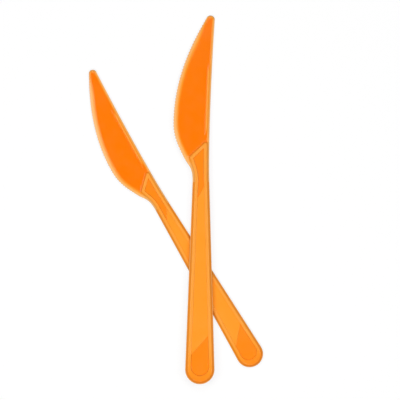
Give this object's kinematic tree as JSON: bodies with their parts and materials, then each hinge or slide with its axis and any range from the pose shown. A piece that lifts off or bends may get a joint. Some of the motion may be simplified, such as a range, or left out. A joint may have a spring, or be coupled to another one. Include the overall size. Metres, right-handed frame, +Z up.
{
  "type": "plastic cutlery knives",
  "caption": "Moulded plastic table knives laid across each other, with sunk handle panels, a slanted shoulder, a ribbed spine and a fine-toothed blade.",
  "frame": {"origin": "middle of the pair's box, on the surface that it lies on", "axes": "+Z up, +Y along the upper knife from its butt end to its tip, -X on the side of its cutting edge"},
  "size_m": [0.091, 0.1902, 0.0076],
  "materials": {
    "orange_plastic": "glossy, slightly see-through moulded polystyrene, paler where it is thick"
  },
  "bodies": {
    "root": {"lower_knife": "orange_plastic", "upper_knife": "orange_plastic"}
  },
  "joints": []
}
